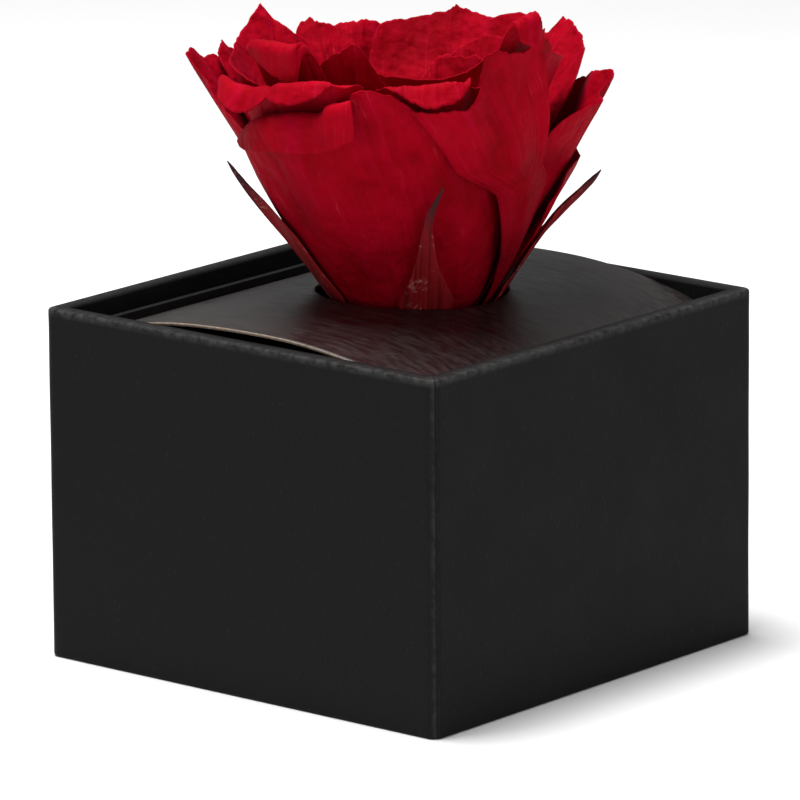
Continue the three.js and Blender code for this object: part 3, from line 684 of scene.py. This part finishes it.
SHAPED_PETALS = (
    Leaf("petal_front_right", 82, 1.0, (
        (12.5, 94.6), (17, 93.2), (24, 93), (31, 93.4, -0.02), (35.5, 96, -0.08), (37, 101, -0.13),
        (40.5, 102.2, -0.14), (46, 101.6, -0.14), (52, 101.4, -0.14), (55, 105, -0.14)), claw_half=3,
        sharp=(6,), wave=(0.15, 3, 0), fan=1.3, shift_from=0.7, sweep=(-12, 0.675, 0.775),
        bumps=((0.5, 0.75, 0.2, 0.3, 0.8),), crumple=0.04),
    Leaf("petal_front_left", 8, 0.925, (
        (-85, 76, 0.05), (-77, 81.5, 0.04, 0.4), (-70, 85.9, 0.03, 2.2), (-61, 90.8, 0.03, 4.8),
        (-51, 95.2, 0.03, 6.8), (-38.5, 97.6, 0.03, 7.6), (-29, 98.2, 0.03, 7.6), (-25, 98.6, 0.03, 7.6),
        (-23, 100.4, 0.03, 8.2), (-18, 100.8, 0.03, 8), (-15.4, 100.4, 0.03, 7), (-13.2, 96.6, 0.02, 1.2),
        (-9, 96.6, 0.02), (-3, 95.8, 0.02), (1, 94.8, 0.01), (13, 90), (34, 84, -0.02), (74, 76, -0.06)),
        claw_half=53, sharp=(8, 11), wave=(0.1, 2.6, 1), roll_radius=1, roll_turn=150, crumple=0.04),
    Leaf("petal_left", -98, 0.89, (
        (-125, 80, 0.04), (-121, 89.6, 0.07), (-112, 93.6, 0.08), (-104, 94.2, 0.1), (-98.5, 96, 0.11),
        (-93.5, 96, 0.13), (-90, 93.4, 0.1), (-86, 91.8, 0.09), (-82, 90.4, 0.08), (-76, 87.4, 0.07),
        (-70, 85.6, 0.05), (-64, 84.4, 0.01)), sharp=(5,), wave=(0.2, 4, 2), crumple=0.04),
    Leaf("petal_right_low", 105, 0.99, (
        (75, 73, 0.07), (79, 78, 0.09), (88, 79.2, 0.1), (100, 80, 0.09), (111, 80.6, 0.07), (116, 77, 0.05)),
        wave=(0.2, 3, 0), fan=1.2, crumple=0.06),
    Leaf("petal_right", 97, 0.93, (
        (62, 79), (66, 86), (74, 88.6, 0.07), (82, 88.9, 0.15), (85, 90.2, 0.1), (89, 92, 0.13),
        (94, 92.6, 0.12), (101, 91.6, 0.1), (109, 90.4, 0.09), (115, 88.8, 0.1), (120.5, 84, 0.07)),
        sharp=(3,), wave=(0.2, 5, 0.5)),
    Leaf("petal_back_right", 150, 1.0, (
        (120, 78), (124, 89), (136, 92.5), (152, 94), (168, 92.5), (180, 88), (184, 76)), wave=(0.4, 3, 1.5),
        crumple=0.06),
    Leaf("petal_back_left", -158, 0.955, (
        (-196, 76), (-192, 87), (-176, 92), (-158, 93), (-142, 90), (-130, 80)), wave=(0.4, 3, 0.2),
        crumple=0.06),
    Leaf("petal_left_back", -124, 0.81, (
        (-146, 80, 0.02), (-139, 89, 0.04), (-128, 92.4, 0.09), (-121, 93.6, 0.11), (-114.5, 95.8, 0.12),
        (-109, 94, 0.11), (-104, 92, 0.08), (-99, 84, 0.02)), claw_half=12, sharp=(4,), wave=(0.2, 4, 2)),
    Leaf("petal_shelf_left", -50, 0.83, (
        (-83, 82), (-80, 89.2, 0.01), (-74.5, 93.6, 0.02, 0.4), (-69, 95.8, 0.04, 1.9), (-62, 98, 0.05, 4.3),
        (-54, 99.2, 0.05, 5.5), (-47.5, 99.2, 0.05, 5.5), (-42.5, 98.6, 0.05, 4.3), (-40.5, 97.2, 0.05, 2.8),
        (-37, 99.2, 0.05, 3.9), (-30, 100.6, 0.05, 4.9), (-24, 100.2, 0.05, 4.1), (-20, 99.2, 0.05, 2.7),
        (-18.5, 97.8, 0.04, 1.3), (-14, 97.9, 0.03, 1.6), (-10, 96.7, 0.01, 0.6), (-8, 90)), claw_half=16,
        sharp=(8, 13), wave=(0.08, 4, 1), crumple=0.12, roll_radius=0.9, roll_turn=122),
    Leaf("petal_shelf_front", 11, 0.785, (
        (-8, 86), (-6.5, 95.4, 0.02, 0.4), (-3, 97.4, 0.07, 1.4), (0.5, 98.6, 0.09, 2.6), (4, 99.9, 0.1, 3.9),
        (9, 101.2, 0.1, 5.1), (15, 101, 0.1, 4.7), (20, 99.2, 0.09, 2.8), (23.4, 97.4, 0.06, 0.8),
        (28.5, 90, 0.01)), sharp=(1,), wave=(0.08, 3, 0), crumple=0.12, roll_radius=1, roll_turn=118),
    Leaf("petal_right_curl", 130, 0.87, (
        (97, 85, 0.02), (99, 90.5, 0.05), (105, 93.6, 0.07), (114.6, 94.7, 0.11), (119, 95.7, 0.12),
        (124.5, 96.9, 0.12), (129, 97.6, 0.11), (131, 95.2, 0.09), (137, 94, 0.05), (144, 86, 0.01)),
        claw_half=12, sharp=(6,), wave=(0.1, 3, 1), fan=1.6, shift_from=0.7, crumple=0.06),
    Leaf("petal_right_fold", 54, 0.785, (
        (30, 88), (33, 97), (34.5, 105.6, 0, 1.2), (36, 109.8, 0, 4.6), (38.6, 112, 0, 6),
        (41.2, 111.4, 0, 5.2), (44.8, 105.4, 0, 1.2), (48, 103.6, 0, 0.3), (54, 101.4), (66, 98), (84, 96),
        (104, 94), (112, 84)), claw_half=16, sharp=(6,), wave=(0.15, 3, 1), roll_radius=1, roll_turn=156,
        crumple=0.04),
    Leaf("petal_back", 160, 0.815, (
        (126, 80), (129, 93, 0.03), (136, 97.8, 0.05), (147, 96.8, 0.05), (156, 97.3, 0.05),
        (161, 98.2, 0.05), (163, 97.4, 0.05), (170, 96.3, 0.05), (179, 95.7, 0.04), (187, 94, 0.03),
        (193, 84)), sharp=(5,), wave=(0.15, 2.5, 0), crumple=0.06),
    Leaf("petal_back_middle", -164, 0.885, (
        (-196, 80), (-188, 92, 0.02), (-176, 95, 0.02), (-169, 95.5, 0.02), (-163.5, 95.2, 0.02),
        (-156, 95.4, 0.02), (-153, 96.4, 0.02), (-147, 94.4, 0.02), (-143, 84)), sharp=(6,), wave=(0.15, 3,
        1)),
    Leaf("petal_left_peak", -108, 0.76, (
        (-156, 82), (-148, 93), (-141.5, 95.4), (-136.5, 97.4), (-132.5, 100.6), (-124, 98.4), (-113.5, 96.8),
        (-103, 95.8), (-90.5, 95.4), (-80, 94.8), (-68, 94.2), (-57, 94), (-50, 92), (-44, 84)), claw_half=16,
        sharp=(4,), wave=(0.15, 3, 0)),
    Leaf("petal_left_inner", -44, 0.645, (
        (-72, 86), (-64, 93), (-58, 98.8, 0.02, 0.4), (-54, 102, 0.03, 2), (-49, 104.8, 0.03, 4.2),
        (-43, 106.4, 0.03, 5.8), (-37, 107.6, 0.03, 7.2), (-32, 108.8, 0.03, 8.2), (-29.5, 108.8, 0.02, 8),
        (-28, 102, 0, 1.8), (-26, 96), (-19, 86)), claw_half=18, sharp=(8,), wave=(0.1, 2, 0),
        roll_radius=1.2, roll_turn=156),
    Leaf("petal_right_inner", 118, 0.71, (
        (84, 84), (92, 92), (106, 93.6), (122, 94.8), (138, 95.2), (146, 94.2), (154, 92.2), (162, 90.6),
        (172, 86)), claw_half=18, wave=(0.2, 2.4, 0)),
    Leaf("petal_front_inner", 4, 0.72, (
        (-40, 84), (-36, 92), (-14, 94), (8, 95), (30, 95), (44, 93), (49, 84)), claw_half=18, wave=(0.2, 3,
        0)),
    Leaf("petal_back_inner", 176, 0.66, (
        (136, 80), (146, 86), (160, 87.5), (182, 88), (200, 88), (212, 87), (218, 78)), claw_half=18,
        wave=(0.3, 2.4, 0)),
    Leaf("petal_heart_fold", -34, 0.54, (
        (-68, 82), (-60, 90), (-50, 94.2), (-41, 96), (-31, 97.8), (-22.5, 99.6), (-16, 101), (-11.5, 102.2),
        (-5, 98), (2, 93), (9, 84)), sharp=(7,), wave=(0.1, 2, 0)),
    Leaf("petal_heart_rim", 30, 0.45, (
        (-26, 90), (-22, 96), (-18, 99.4), (-13, 99.2), (-8, 97.1), (-3, 96.2), (5, 95.5), (23.5, 94.9),
        (47, 94.7), (62.5, 95), (78, 95.6), (96, 93.5), (106, 84)), claw_half=22, wave=(0.1, 2, 0)),
    Leaf("petal_heart_back", 128, 0.5, (
        (84, 82), (92, 90), (104, 93), (120.5, 93.7), (136, 93), (149, 92.5), (154, 89), (164, 82)),
        claw_half=18, sharp=(5,), wave=(0.1, 2, 0)),
)


def back_sepal(name: str, claw: float) -> Leaf:
    """One of the two sepals behind the rose: a plain spear round the turn of its claw."""
    spear = ((-14, 60), (-7, 67), (-3, 74, 0.02), (0, 80, 0.1), (3, 74, 0.02), (7, 67), (14, 60))
    outline = tuple((claw + turn, *rest) for turn, *rest in spear)
    return Leaf(name, claw, 1.05, outline, sharp=(3,), crumple=0.04)


SEPALS = (
    Leaf("sepal_front", 12, 1.03, (
        (-6, 59), (0, 62.5), (4, 67), (6.4, 72), (7.2, 76), (8.8, 80.4), (9.8, 76), (10.6, 72), (14.5, 66),
        (21, 62), (28, 59)), sharp=(5,), claw_half=20, sweep=(6, 0.6, 0.8), grid=(90, 60), crumple=0.04),
    Leaf("sepal_left", -78, 0.97, (
        (-108, 59, 0.03), (-101, 64, 0.05), (-92, 69, 0.04), (-84, 72.5, 0.05), (-80, 75.5, 0.1),
        (-78.3, 78, 0.135), (-77.5, 80.4, 0.17), (-76.9, 78, 0.135), (-76, 75.5, 0.1), (-72, 72.5, 0.05),
        (-62, 69, 0.03), (-57, 64, 0.02), (-50, 59)), sharp=(6,), shift_from=0.5, claw_half=20,
        grid=(110, 60), crumple=0.04),
    Leaf("sepal_right", 86, 1.06, (
        (69, 59.5), (75, 63, 0.01), (80, 67, 0.03), (83.8, 71, 0.06), (85.6, 74.5, 0.13), (86.5, 77.6, 0.185),
        (87.8, 74.5, 0.13), (90, 71, 0.06), (94, 67, 0.03), (99, 63, 0.01), (105, 59.5)), sharp=(5,),
        shift_from=0.68, grid=(110, 60), crumple=0.04),
    back_sepal("sepal_back_right", 158),
    back_sepal("sepal_back_left", -138),
)


@dataclass
class Rose:
    """Rose head: shaped petals, a spiral of inner petals, sepals and the hip."""

    cups: Cups = field(default_factory=Cups)
    inner_count: int = 8
    inner_first_turn: float = -92.5
    golden_angle: float = 137.5
    inner_layers: Numbers = (0.44, 0.09)
    inner_spreads: Numbers = (58.0, 110.0)
    inner_top: float = 90.4
    inner_tilt: float = 1.8

    def inner_petal(self, index: int) -> Leaf:
        """One petal of the spiral between the shaped petals and the bud.

        Args:
            index: number of the petal, from the outside.

        Returns:
            The leaf, one golden angle past the one before.
        """
        share = index / (self.inner_count - 1)
        claw = self.inner_first_turn + self.golden_angle * index
        spread = self.inner_spreads[0] + (self.inner_spreads[1] - self.inner_spreads[0]) * share
        top = self.inner_top + self.inner_tilt * math.cos(math.radians(claw))
        arch = ((-1, 80), (-0.9, top - 3), (-0.45, top), (0, top + 0.8), (0.45, top), (0.9, top - 3), (1, 80))
        outline = tuple((claw + part * spread, height) for part, height in arch)
        layer = self.inner_layers[0] + (self.inner_layers[1] - self.inner_layers[0]) * share
        return Leaf(f"petal_inner_{index + 1}", claw, layer, outline, claw_half=20, grid=(100, 44),
                    wave=(0.25, 2.0, 1.3 * index), crumple=0.1)

    def build(self) -> None:
        """Builds every petal and sepal and dresses them and the hip."""
        petals = SHAPED_PETALS + tuple(self.inner_petal(index) for index in range(self.inner_count))
        dressed = (petals, PetalFinish().build(), Slot.PETAL), (SEPALS, SepalFinish().build(), Slot.SEPAL)
        for leaves, finish, slot in dressed:
            for leaf in leaves:
                piece = leaf.build(self.cups)
                piece.data.materials.append(finish)
                hand_over(piece, slot, leaf.name)
        hip = PlainFinish("dry_hip", (0.05, 0.004, 0.006), (0.10, 0.012, 0.012)).build()
        dress_node("rose_hip", hip)


def dress_node(name: str, material: Material) -> None:
    """Gives a CAD node that stays as it is its finish.

    Args:
        name: name of the node.
        material: the finish.
    """
    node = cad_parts[name]
    node.data.materials.clear()
    node.data.materials.append(material)
    LOG.info("%s: kept as modelled, with the finish %s", name, material.name)


# The box


@dataclass
class Tray:
    """Open square tray of board covered with paper, with a lap seam at its front corner."""

    side: float = 80.0
    height: float = 57.0
    wall: float = 3.0
    floor: float = 2.0
    corner: float = 1.7
    inner_corner: float = 0.6
    rim_round: float = 0.5
    seam_turn: float = -33.0
    seam_depth: float = 0.16
    seam_width: float = 0.13
    skin_reach: float = 0.6
    wrinkle: float = 0.05
    paper_waves: Table = ((0.19, 0.11, 1.0), (0.23, -0.13, 0.0), (0.17, 0.31, 0.0))
    waves_from: Numbers = (0.5, 6.0)
    waves_below_rim: Numbers = (4.0, 0.5)
    # Paler band along the rim's top and up each corner: rubbed paper plus a painted highlight.
    worn_and_highlit_rim: Numbers = (1.2, 0.3)
    rim_wear_and_highlight: float = 0.75
    corner_wear_and_highlight: float = 0.35
    corner_turn: float = 16.0
    under_rows: Table = ((0.0, 0.0), (20.0, 1.0), (37.0, 1.2))
    floor_rows: Table = ((20.0, 0.6), (0.0, 0.0))
    rim_steps: int = 7
    arc_steps: int = 26
    side_steps: int = 60
    wall_rows: int = 70
    inside_rows: int = 12

    def section(self) -> Array:
        """Section from the middle of the underside out, up and over the rim to the floor.

        Returns:
            Array of (half side, corner radius, height) for each row of the skin.
        """
        half = self.side / 2
        inside = half - self.wall
        arc = np.linspace(0.0, math.pi / 2, self.rim_steps)
        r = self.rim_round
        rise, run = r * np.sin(arc), r * np.cos(arc)
        rows = [
            *((*row, 0.0) for row in self.under_rows),
            (half - r + rise, self.corner - r + rise, r - run),
            (half, self.corner, np.linspace(r, self.height - r, self.wall_rows)[1:-1]),
            (half - r + run, self.corner - r + run, self.height - r + rise),
            (inside + r - rise, self.inner_corner + r - rise, self.height - r + run),
            (inside, self.inner_corner, np.linspace(self.height - r, self.floor, self.inside_rows)[1:]),
            *((*row, self.floor) for row in self.floor_rows),
        ]
        return np.concatenate([joined(*np.atleast_1d(*row)) for row in rows])

    def ring(self) -> tuple[Array, Array, Array]:
        """Places round a rounded square, one corner after another.

        Returns:
            Each point's turn in degrees, share of the way to the next corner, and corner.
        """
        along = np.linspace(0.0, 1.0, self.side_steps)[1:-1]
        turns, shares = [], []
        for start in (-90.0, 0.0, 90.0, 180.0):
            turns += [np.linspace(start, start + 90.0, self.arc_steps), np.full(len(along), start + 90.0)]
            shares += [np.zeros(self.arc_steps), along]
        return np.concatenate(turns), np.concatenate(shares), np.arange(4).repeat(self.arc_steps + len(along))

    def build(self) -> None:
        """Builds the skin of the tray as a grid of its section by the ring round it.

        A point is a corner's centre, or a place between two of them, plus the radius along its
        turn. The outer skin then gets shallow waves and the seam.
        """
        half, radius, z = self.section().T[..., None]
        turn, share, quarter = self.ring()
        angle = np.radians(turn)
        middle = half - np.minimum(radius, half)
        corners = np.array([[1.0, -1.0], [1.0, 1.0], [-1.0, 1.0], [-1.0, -1.0]])
        here_x, here_y = corners[quarter].T
        next_x, next_y = corners[(quarter + 1) % len(corners)].T
        x = middle * (here_x + (next_x - here_x) * share) + radius * np.cos(angle)
        y = middle * (here_y + (next_y - here_y) * share) + radius * np.sin(angle)
        at_corner = share == 0
        skin = half > self.side / 2 - self.skin_reach
        outer = skin * smooth_step(z, *self.waves_from)
        outer = outer * (1.0 - smooth_step(z, *(self.height - drop for drop in self.waves_below_rim)))
        first, second, third = (np.sin(a * part + b * z + phase)
                                for part, (a, b, phase) in zip((x, y, x - y), self.paper_waves))
        waves = first * second + third
        seam_away = (turn - self.seam_turn) * math.radians(1.0) * self.corner
        seam = np.exp(-((seam_away / self.seam_width) ** 2)) * at_corner * skin
        push = -self.wrinkle * 0.5 * (1.0 - waves * 0.5) * outer - self.seam_depth * seam
        x = x + push * np.cos(angle)
        y = y + push * np.sin(angle)
        points = joined(x, y, z)
        # The rim's top and the middle of each upright corner are painted paler, as rubbed paper and as a
        # highlight, and not in the seam.
        rim = smooth_step(z, *(self.height - drop for drop in self.worn_and_highlit_rim))
        rim = rim * smooth_step(half, self.side / 2 - self.worn_and_highlit_rim[0], self.side / 2)
        upright_wear_and_highlight = np.exp(-((np.abs(turn % 90.0 - 45.0) / self.corner_turn) ** 2)) * at_corner
        wear_and_highlight = np.clip(rim * self.rim_wear_and_highlight + self.corner_wear_and_highlight * upright_wear_and_highlight * skin, 0.0, 1.0)
        self.close(points, wear_and_highlight * (1.0 - seam))

    def close(self, points: Array, wear_and_highlight: Array) -> None:
        """Closes the two poles and puts the skin into the scene.

        Args:
            points: grid of the skin, whose first and last rows are single points.
            wear_and_highlight: how much each point is rubbed pale, with a painted edge highlight.
        """
        body = points[1:-1]
        index = numbered(*body.shape[:2])
        vertices = np.concatenate([body.reshape(-1, 3), points[0, :1], points[-1, :1]])
        quads = quads_between(index, wrap=True)[:, ::-1]
        bottom = joined(np.roll(index[0], -1), index[0], index.size)
        top = joined(index[-1], np.roll(index[-1], -1), index.size + 1)
        worn_and_highlit = np.concatenate([wear_and_highlight[1:-1].ravel(), [0.0, 0.0]])
        piece = make_piece("paper_tray", vertices, [quads, bottom, top], wear_and_highlight=worn_and_highlit)
        piece.data.materials.append(PaperFinish().build())
        hand_over(piece, Slot.PAPER, "box_tray")


@dataclass
class InsertCard:
    """Thin card bowed over the tray, with a round hole for the rose and two folded legs."""

    crown: float = 58.3
    level: float = 57.0
    level_at: float = 19.5
    bow_power: float = 2.5
    half_width: float = 35.2
    half_depth: float = 36.7
    unrest: float = 0.06
    unrest_waves: Table = ((0.21, 0.4), (0.17, 1.1))
    foot: float = 2.3
    thickness: float = 0.5
    hole_radius: float = 15.4
    hole_place: Numbers = (-0.25, 3.2)
    edge_steps: int = 48
    rows: int = 40
    rows_crowding: float = 1.2
    leg_rows: int = 16

    def height_at(self, x: Array, y: Array) -> Array:
        """Height of the card: the crown less a power of the distance from its middle line."""
        bow = (self.crown - self.level) * (np.abs(x) / self.level_at) ** self.bow_power
        across, along = (np.sin(a * part + phase) for part, (a, phase) in zip((x, y), self.unrest_waves))
        return self.crown - bow + self.unrest * across * along

    def border(self) -> Array:
        """Points round the edge of the card, anticlockwise from its front left corner."""
        s = np.linspace(-1.0, 1.0, self.edge_steps, endpoint=False)
        edges = joined(s, -1.0), joined(1.0, s), joined(-s, 1.0), joined(-1.0, -s)
        return np.concatenate(edges) * (self.half_width, self.half_depth)

    def build(self) -> None:
        """Builds the top as a fan of straight lines from the hole to the edge, then the legs.

        Solidify gives the card its thickness, with raw board on its cut edges.
        """
        border = self.border()
        away = border - self.hole_place
        hole = self.hole_place + away / np.linalg.norm(away, axis=-1, keepdims=True) * self.hole_radius
        share = np.linspace(0.0, 1.0, self.rows)[:, None, None] ** self.rows_crowding
        flat = hole[None] + (border - hole)[None] * share
        top = np.concatenate([flat, self.height_at(flat[..., 0], flat[..., 1])[..., None]], axis=-1)
        index = numbered(self.rows, len(border))
        vertices = [top.reshape(-1, 3)]
        faces = [quads_between(index, wrap=True)]
        count = index.size
        for first in (self.edge_steps, 3 * self.edge_steps):
            run = np.arange(first, first + self.edge_steps + 1) % len(border)
            x, y, upper = top[-1, run].T
            drop = np.linspace(0.0, 1.0, self.leg_rows)[1:, None]
            leg = joined(x, y, upper + (self.foot - upper) * drop)
            vertices.append(leg.reshape(-1, 3))
            below = numbered(*leg.shape[:2]) + count
            faces.append(quads_between(np.concatenate([index[-1:, run], below])))
            count += below.size
        piece = make_piece("bowed_card", np.concatenate(vertices), faces)
        piece.data.materials.append(CardFinish().build())
        piece.data.materials.append(
            PlainFinish("raw_board_edge", (0.20, 0.15, 0.115), (0.36, 0.29, 0.235), depth=0.05).build())
        shell = piece.modifiers.new("thickness", "SOLIDIFY")
        shell.thickness = self.thickness * MM
        shell.offset = -1.0
        shell.use_even_offset = True
        shell.material_offset_rim = 1
        hand_over(piece, Slot.CARD, "insert_card")


@dataclass
class Box:
    """The whole case: tray, boards along two walls, and the card."""

    tray: Tray = field(default_factory=Tray)
    card: InsertCard = field(default_factory=InsertCard)

    def build(self) -> None:
        """Builds the tray and the card, and dresses the two boards."""
        self.tray.build()
        self.card.build()
        dark, pale = (0.008, 0.0078, 0.0078), (0.014, 0.0135, 0.0135)
        board = PlainFinish("dark_board", dark, pale, roughness=0.6, specular=0.12).build()
        for name in ("board_left", "board_right"):
            dress_node(name, board)


# The studio


@dataclass
class Lamp:
    """One soft square light that faces the rose, placed in metres."""

    name: str
    place: Numbers
    size: float
    power: float
    target: Numbers = (0.0, 0.0, 0.07)

    def build(self) -> None:
        """Makes the light and turns it to its target."""
        light = bpy.data.lights.new(self.name, "AREA")
        light.size = self.size
        light.energy = self.power
        lamp = bpy.data.objects.new(self.name, light)
        bpy.context.scene.collection.objects.link(lamp)
        lamp.location = self.place
        aim = Vector(self.target) - Vector(self.place)
        lamp.rotation_euler = aim.to_track_quat("-Z", "Y").to_euler()


@dataclass
class Studio:
    """Pale floor, soft light and the camera, fitted to the photograph's 800 pixel frame."""

    azimuth: float = 39.93
    elevation: float = 13.81
    roll: float = -0.44
    focal_pixels: float = 8715.0
    frame_pixels: float = 800.0
    distance: float = 1387.0
    target_right: float = -0.11
    target_height: float = 40.31
    sensor: float = 36.0
    clip: Numbers = (0.01, 50.0)
    sky: float = 0.27
    seen_sky: float = 1.0
    floor_half: float = 3000.0
    floor_points: int = 9
    floor_drop: float = 0.02
    lamps: tuple[Lamp, ...] = (
        Lamp("overhead_light", (-0.10, -0.08, 0.95), 0.42, 13.4),
        Lamp("front_light", (0.2, -1.05, 0.14), 0.5, 1.4),
        Lamp("right_light", (1.0, -0.35, 0.25), 0.5, 1.3),
    )

    def camera(self) -> None:
        """Places the camera by its angles, its distance and the point that it looks at."""
        azimuth, elevation, roll = (math.radians(a) for a in (self.azimuth, self.elevation, self.roll))
        turn = Matrix.Rotation(azimuth, 4, "Z") @ Matrix.Rotation(math.pi / 2 - elevation, 4, "X")
        place = turn @ Vector((self.target_right, 0.0, self.distance))
        place.z += self.target_height
        lens = bpy.data.cameras.new("photo_camera")
        lens.sensor_width = self.sensor
        lens.lens = self.focal_pixels / self.frame_pixels * self.sensor
        lens.clip_start, lens.clip_end = self.clip
        camera = bpy.data.objects.new("photo_camera", lens)
        bpy.context.scene.collection.objects.link(camera)
        camera.matrix_world = Matrix.Translation(place * MM) @ turn @ Matrix.Rotation(roll, 4, "Z")
        bpy.context.scene.camera = camera

    def light(self) -> None:
        """Makes the lamps, and white surroundings that light the scene less than they show."""
        world = bpy.data.worlds.new("white_room")
        world.use_nodes = True
        nodes, links = world.node_tree.nodes, world.node_tree.links
        background = nodes["Background"]
        background.inputs["Color"].default_value = (1.0, 1.0, 1.0, 1.0)
        strength = nodes.new("ShaderNodeMapRange")
        strength.inputs["To Min"].default_value = self.sky
        strength.inputs["To Max"].default_value = self.seen_sky
        links.new(nodes.new("ShaderNodeLightPath").outputs["Is Camera Ray"], strength.inputs["Value"])
        links.new(strength.outputs["Result"], background.inputs["Strength"])
        bpy.context.scene.world = world
        bpy.context.scene.view_settings.view_transform = "Standard"
        for lamp in self.lamps:
            lamp.build()

    def floor(self) -> None:
        """Makes the pale floor, a flat grid just under the box."""
        reach = np.linspace(-self.floor_half, self.floor_half, self.floor_points)
        x, y = np.meshgrid(reach, reach, indexing="ij")
        points = joined(x, y, -self.floor_drop).reshape(-1, 3)
        piece = make_piece("pale_floor", points, [quads_between(numbered(*x.shape))])
        finish = PlainFinish("pale_floor", (0.86, 0.86, 0.86), (0.89, 0.89, 0.89), grain=4.0)
        piece.data.materials.append(finish.build())

    def build(self) -> None:
        """Sets up the camera, the light and the floor."""
        self.camera()
        self.light()
        self.floor()


def main() -> None:
    """Builds the studio, the box and the rose, and reports their pieces."""
    logging.basicConfig(level=logging.INFO, format="%(message)s")
    Studio().build()
    Box().build()
    Rose().build()


if __name__ == "__main__":
    main()
